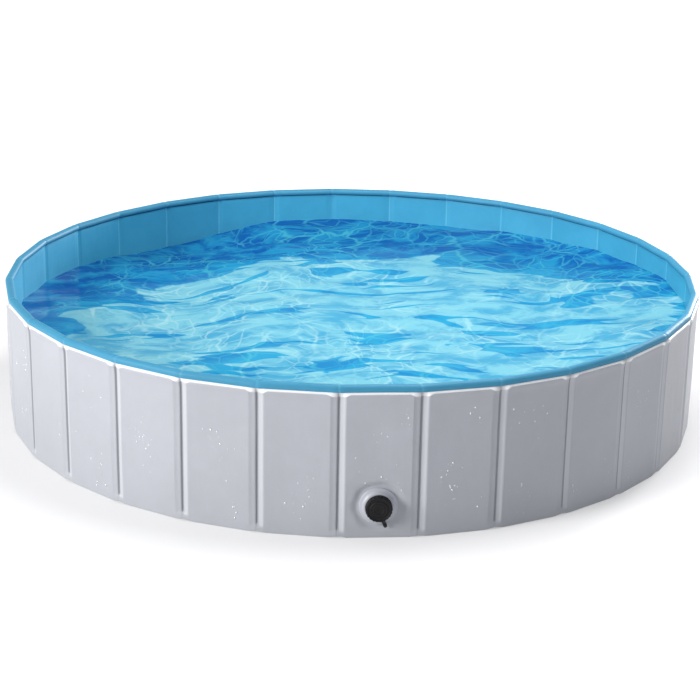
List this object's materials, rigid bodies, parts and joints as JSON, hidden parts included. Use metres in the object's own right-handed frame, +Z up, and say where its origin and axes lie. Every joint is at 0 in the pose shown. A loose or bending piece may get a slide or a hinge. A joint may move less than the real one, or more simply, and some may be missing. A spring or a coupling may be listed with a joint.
{
  "type": "folding pet bath",
  "caption": "Round folding pet bath: a low ring of hinged boards in a grey and blue PVC wall with a padded rim, a PVC floor and a screw drain cap.",
  "frame": {"origin": "centre of the floor sheet's underside, on the ring's axis", "axes": "+Z up, -Y out through the drain, +X to the right when facing the drain"},
  "size_m": [1.5996, 1.6131, 0.32],
  "materials": {
    "board": "smooth sheet",
    "grey_pvc": "coated fabric, satin, fine grain",
    "blue_pvc": "coated fabric, satin",
    "rim_pvc": "coated fabric over a soft core, satin",
    "floor_pvc": "embossed sheet, satin",
    "spigot": "moulded",
    "boss": "moulded, satin",
    "nut": "moulded",
    "gasket": "matte",
    "tether": "matte",
    "cap": "moulded, fine texture"
  },
  "bodies": {
    "base": {"board_drain": "board", "outer_skin": "grey_pvc", "inner_skin": "blue_pvc", "rim_roll": "rim_pvc", "floor_sheet": "floor_pvc", "drain_spigot": "spigot", "drain_boss": "boss", "drain_lock_nut": "nut", "outer_gasket": "gasket", "inner_gasket": "gasket", "tether_rivet": "cap"},
    "tether": {"cap_tether": "tether"},
    "cap": {"drain_cap": "cap", "cap_seal": "gasket"},
    "right_01": {"board_right_01": "board"},
    "right_02": {"board_right_02": "board"},
    "right_03": {"board_right_03": "board"},
    "right_04": {"board_right_04": "board"},
    "right_05": {"board_right_05": "board"},
    "right_06": {"board_right_06": "board"},
    "right_07": {"board_right_07": "board"},
    "right_08": {"board_right_08": "board"},
    "right_09": {"board_right_09": "board"},
    "right_10": {"board_right_10": "board"},
    "right_11": {"board_right_11": "board"},
    "right_12": {"board_right_12": "board"},
    "right_13": {"board_right_13": "board"},
    "right_14": {"board_right_14": "board"},
    "right_15": {"board_right_15": "board"},
    "left_01": {"board_left_01": "board"},
    "left_02": {"board_left_02": "board"},
    "left_03": {"board_left_03": "board"},
    "left_04": {"board_left_04": "board"},
    "left_05": {"board_left_05": "board"},
    "left_06": {"board_left_06": "board"},
    "left_07": {"board_left_07": "board"},
    "left_08": {"board_left_08": "board"},
    "left_09": {"board_left_09": "board"},
    "left_10": {"board_left_10": "board"},
    "left_11": {"board_left_11": "board"},
    "left_12": {"board_left_12": "board"},
    "left_13": {"board_left_13": "board"},
    "left_14": {"board_left_14": "board"},
    "left_15": {"board_left_15": "board"}
  },
  "joints": [
    {"name": "cap_travel", "type": "slide", "parent": "base", "child": "tether", "axis": [0, -1, 0], "range_m": [0, 0.008], "deforming": ["cap_tether"]},
    {"name": "cap_turn", "type": "hinge", "parent": "tether", "child": "cap", "pos_m": [0, -0.78595, 0.069], "axis": [0, -1, 0], "range_deg": [0, 720]},
    {"name": "fold_right_01", "type": "hinge", "parent": "base", "child": "right_01", "pos_m": [0.07911, -0.77799, 0.145], "axis": [0, 0, 1], "range_deg": [0, 90.7], "deforming": ["outer_skin", "inner_skin", "rim_roll"]},
    {"name": "fold_right_02", "type": "hinge", "parent": "right_01", "child": "right_02", "pos_m": [0.23889, -0.7614, 0.145], "axis": [0, 0, 1], "range_deg": [-163.28, 0]},
    {"name": "fold_right_03", "type": "hinge", "parent": "right_02", "child": "right_03", "pos_m": [0.37951, -0.68374, 0.145], "axis": [0, 0, 1], "range_deg": [0, 160.48]},
    {"name": "fold_right_04", "type": "hinge", "parent": "right_03", "child": "right_04", "pos_m": [0.5198, -0.60549, 0.145], "axis": [0, 0, 1], "range_deg": [-162.75, 0]},
    {"name": "fold_right_05", "type": "hinge", "parent": "right_04", "child": "right_05", "pos_m": [0.61839, -0.47867, 0.145], "axis": [0, 0, 1], "range_deg": [0, 160.19]},
    {"name": "fold_right_06", "type": "hinge", "parent": "right_05", "child": "right_06", "pos_m": [0.71645, -0.35143, 0.145], "axis": [0, 0, 1], "range_deg": [-162.25, 0]},
    {"name": "fold_right_07", "type": "hinge", "parent": "right_06", "child": "right_07", "pos_m": [0.75704, -0.19601, 0.145], "axis": [0, 0, 1], "range_deg": [0, 159.07]},
    {"name": "fold_right_08", "type": "hinge", "parent": "right_07", "child": "right_08", "pos_m": [0.79698, -0.04042, 0.145], "axis": [0, 0, 1], "range_deg": [-161.88, 0]},
    {"name": "fold_right_09", "type": "hinge", "parent": "right_08", "child": "right_09", "pos_m": [0.77298, 0.11842, 0.145], "axis": [0, 0, 1], "range_deg": [0, 157.77]},
    {"name": "fold_right_10", "type": "hinge", "parent": "right_09", "child": "right_10", "pos_m": [0.74833, 0.27715, 0.145], "axis": [0, 0, 1], "range_deg": [-161.65, 0]},
    {"name": "fold_right_11", "type": "hinge", "parent": "right_10", "child": "right_11", "pos_m": [0.66364, 0.41365, 0.145], "axis": [0, 0, 1], "range_deg": [0, 156.54]},
    {"name": "fold_right_12", "type": "hinge", "parent": "right_11", "child": "right_12", "pos_m": [0.57839, 0.5498, 0.145], "axis": [0, 0, 1], "range_deg": [-161.47, 0]},
    {"name": "fold_right_13", "type": "hinge", "parent": "right_12", "child": "right_13", "pos_m": [0.44673, 0.64184, 0.145], "axis": [0, 0, 1], "range_deg": [0, 155.61]},
    {"name": "fold_right_14", "type": "hinge", "parent": "right_13", "child": "right_14", "pos_m": [0.3147, 0.73333, 0.145], "axis": [0, 0, 1], "range_deg": [-161.19, 0]},
    {"name": "fold_right_15", "type": "hinge", "parent": "right_14", "child": "right_15", "pos_m": [0.15741, 0.76599, 0.145], "axis": [0, 0, 1], "range_deg": [0, 155.14]},
    {"name": "fold_left_01", "type": "hinge", "parent": "base", "child": "left_01", "pos_m": [-0.07911, -0.77799, 0.145], "axis": [0, 0, 1], "range_deg": [-90.71, 0]},
    {"name": "fold_left_02", "type": "hinge", "parent": "left_01", "child": "left_02", "pos_m": [-0.23889, -0.7614, 0.145], "axis": [0, 0, 1], "range_deg": [0, 163.28]},
    {"name": "fold_left_03", "type": "hinge", "parent": "left_02", "child": "left_03", "pos_m": [-0.37951, -0.68374, 0.145], "axis": [0, 0, 1], "range_deg": [-160.48, 0]},
    {"name": "fold_left_04", "type": "hinge", "parent": "left_03", "child": "left_04", "pos_m": [-0.5198, -0.60549, 0.145], "axis": [0, 0, 1], "range_deg": [0, 162.75]},
    {"name": "fold_left_05", "type": "hinge", "parent": "left_04", "child": "left_05", "pos_m": [-0.61839, -0.47867, 0.145], "axis": [0, 0, 1], "range_deg": [-160.19, 0]},
    {"name": "fold_left_06", "type": "hinge", "parent": "left_05", "child": "left_06", "pos_m": [-0.71645, -0.35143, 0.145], "axis": [0, 0, 1], "range_deg": [0, 162.25]},
    {"name": "fold_left_07", "type": "hinge", "parent": "left_06", "child": "left_07", "pos_m": [-0.75704, -0.19601, 0.145], "axis": [0, 0, 1], "range_deg": [-159.07, 0]},
    {"name": "fold_left_08", "type": "hinge", "parent": "left_07", "child": "left_08", "pos_m": [-0.79698, -0.04042, 0.145], "axis": [0, 0, 1], "range_deg": [0, 161.88]},
    {"name": "fold_left_09", "type": "hinge", "parent": "left_08", "child": "left_09", "pos_m": [-0.77298, 0.11842, 0.145], "axis": [0, 0, 1], "range_deg": [-157.77, 0]},
    {"name": "fold_left_10", "type": "hinge", "parent": "left_09", "child": "left_10", "pos_m": [-0.74833, 0.27715, 0.145], "axis": [0, 0, 1], "range_deg": [0, 161.65]},
    {"name": "fold_left_11", "type": "hinge", "parent": "left_10", "child": "left_11", "pos_m": [-0.66364, 0.41365, 0.145], "axis": [0, 0, 1], "range_deg": [-156.54, 0]},
    {"name": "fold_left_12", "type": "hinge", "parent": "left_11", "child": "left_12", "pos_m": [-0.57839, 0.5498, 0.145], "axis": [0, 0, 1], "range_deg": [0, 161.47]},
    {"name": "fold_left_13", "type": "hinge", "parent": "left_12", "child": "left_13", "pos_m": [-0.44673, 0.64184, 0.145], "axis": [0, 0, 1], "range_deg": [-155.61, 0]},
    {"name": "fold_left_14", "type": "hinge", "parent": "left_13", "child": "left_14", "pos_m": [-0.3147, 0.73333, 0.145], "axis": [0, 0, 1], "range_deg": [0, 161.19]},
    {"name": "fold_left_15", "type": "hinge", "parent": "left_14", "child": "left_15", "pos_m": [-0.15741, 0.76599, 0.145], "axis": [0, 0, 1], "range_deg": [-155.14, 0]}
  ],
  "couplings": [
    {"joint": "cap_travel", "follows": "cap_turn", "m_per_rad": 0.000636},
    {"joint": "fold_right_02", "follows": "fold_right_01", "ratio": -1.8001},
    {"joint": "fold_right_03", "follows": "fold_right_01", "ratio": 1.7692},
    {"joint": "fold_right_04", "follows": "fold_right_01", "ratio": -1.7943},
    {"joint": "fold_right_05", "follows": "fold_right_01", "ratio": 1.766},
    {"joint": "fold_right_06", "follows": "fold_right_01", "ratio": -1.7888},
    {"joint": "fold_right_07", "follows": "fold_right_01", "ratio": 1.7537},
    {"joint": "fold_right_08", "follows": "fold_right_01", "ratio": -1.7847},
    {"joint": "fold_right_09", "follows": "fold_right_01", "ratio": 1.7394},
    {"joint": "fold_right_10", "follows": "fold_right_01", "ratio": -1.7821},
    {"joint": "fold_right_11", "follows": "fold_right_01", "ratio": 1.7258},
    {"joint": "fold_right_12", "follows": "fold_right_01", "ratio": -1.7801},
    {"joint": "fold_right_13", "follows": "fold_right_01", "ratio": 1.7155},
    {"joint": "fold_right_14", "follows": "fold_right_01", "ratio": -1.7771},
    {"joint": "fold_right_15", "follows": "fold_right_01", "ratio": 1.7104},
    {"joint": "fold_left_01", "follows": "fold_right_01", "ratio": -1},
    {"joint": "fold_left_02", "follows": "fold_right_01", "ratio": 1.8001},
    {"joint": "fold_left_03", "follows": "fold_right_01", "ratio": -1.7692},
    {"joint": "fold_left_04", "follows": "fold_right_01", "ratio": 1.7943},
    {"joint": "fold_left_05", "follows": "fold_right_01", "ratio": -1.766},
    {"joint": "fold_left_06", "follows": "fold_right_01", "ratio": 1.7888},
    {"joint": "fold_left_07", "follows": "fold_right_01", "ratio": -1.7537},
    {"joint": "fold_left_08", "follows": "fold_right_01", "ratio": 1.7847},
    {"joint": "fold_left_09", "follows": "fold_right_01", "ratio": -1.7394},
    {"joint": "fold_left_10", "follows": "fold_right_01", "ratio": 1.7821},
    {"joint": "fold_left_11", "follows": "fold_right_01", "ratio": -1.7258},
    {"joint": "fold_left_12", "follows": "fold_right_01", "ratio": 1.7801},
    {"joint": "fold_left_13", "follows": "fold_right_01", "ratio": -1.7155},
    {"joint": "fold_left_14", "follows": "fold_right_01", "ratio": 1.7771},
    {"joint": "fold_left_15", "follows": "fold_right_01", "ratio": -1.7104}
  ]
}
